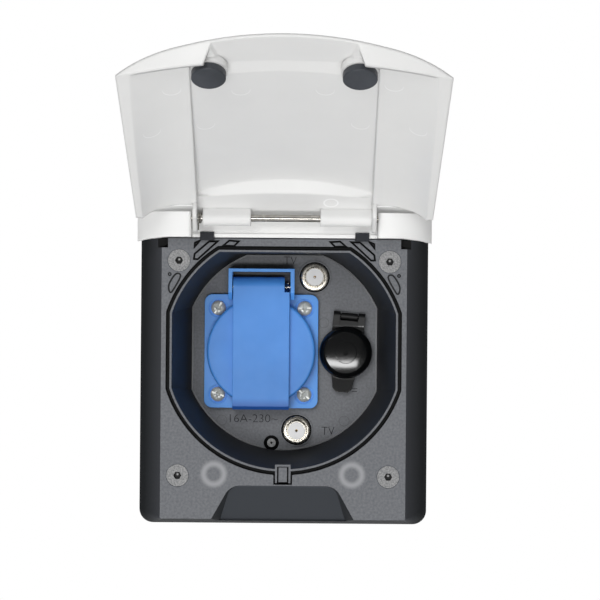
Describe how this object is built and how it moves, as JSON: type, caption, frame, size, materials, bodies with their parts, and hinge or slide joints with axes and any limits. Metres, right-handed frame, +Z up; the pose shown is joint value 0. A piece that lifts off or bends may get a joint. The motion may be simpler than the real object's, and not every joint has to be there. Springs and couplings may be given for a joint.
{
  "type": "external socket panel",
  "caption": "Wall-mounted outdoor socket box with a deep round cup of mains, low-voltage and aerial sockets, each capped, under a hinged magnetic lid with a cable outlet.",
  "frame": {"origin": "centre of the four wall screws, on the wall plane behind the gasket", "axes": "+X to the right seen from outside, +Y into the wall, +Z up; the lid is modelled open"},
  "size_m": [0.13, 0.1991, 0.1975],
  "materials": {
    "anthracite_plastic": "fine eroded grain",
    "white_plastic": "satin moulded",
    "blue_plastic": "semi-gloss moulded",
    "black_plastic": "polished moulded",
    "magnet_black": "coated ferrite discs",
    "screw_steel": "plain bright steel",
    "pin_steel": "drawn wire",
    "nickel": "nickel plated",
    "brass": "turned brass",
    "insulator_white": "white insulator",
    "foam_rubber": "closed-cell foam",
    "seal_rubber": "soft ring"
  },
  "bodies": {
    "panel": {"base": "anthracite_plastic", "wall_gasket": "foam_rubber", "wall_screws": "screw_steel", "catch_plates": "screw_steel", "cup": "anthracite_plastic", "socket_plate": "anthracite_plastic", "plate_screw": "screw_steel", "hinge_bar": "white_plastic", "hinge_pin": "pin_steel", "lid_spring": "pin_steel", "schuko_frame": "blue_plastic", "schuko_insert": "blue_plastic", "schuko_contacts": "brass", "schuko_earth": "nickel", "schuko_terminals": "screw_steel", "schuko_screws": "screw_steel", "schuko_flap_pin": "pin_steel", "schuko_flap_spring": "pin_steel", "dc_body": "black_plastic", "dc_sleeve": "brass", "dc_contact": "brass", "dc_nut": "black_plastic", "dc_cap_pin": "pin_steel", "tv_upper_body": "nickel", "tv_upper_insulator": "insulator_white", "tv_upper_contact": "brass", "tv_upper_nut": "nickel", "tv_lower_body": "nickel", "tv_lower_insulator": "insulator_white", "tv_lower_contact": "brass", "tv_lower_nut": "nickel"},
    "lid": {"lid": "white_plastic", "lid_magnets": "magnet_black"},
    "flap": {"schuko_flap": "blue_plastic", "schuko_flap_seal": "seal_rubber"},
    "cap": {"dc_cap": "black_plastic"}
  },
  "joints": [
    {"name": "lid_hinge", "type": "hinge", "parent": "panel", "child": "lid", "pos_m": [0, -0.0316, 0.0633], "axis": [1, 0, 0], "range_deg": [0, 121.5], "stiffness_Nm_per_rad": 0.03, "springref_deg": -114.59, "deforming": ["lid_spring"]},
    {"name": "flap_hinge", "type": "hinge", "parent": "panel", "child": "flap", "pos_m": [-0.0102, 0.018, 0.0347], "axis": [-1, 0, 0], "range_deg": [0, 95], "stiffness_Nm_per_rad": 0.01, "springref_deg": -45.84, "deforming": ["schuko_flap_spring"]},
    {"name": "cap_hinge", "type": "hinge", "parent": "panel", "child": "cap", "pos_m": [0.02853, 0.0224, 0.02203], "axis": [-0.9954, 0, 0.0958], "range_deg": [0, 100]}
  ]
}
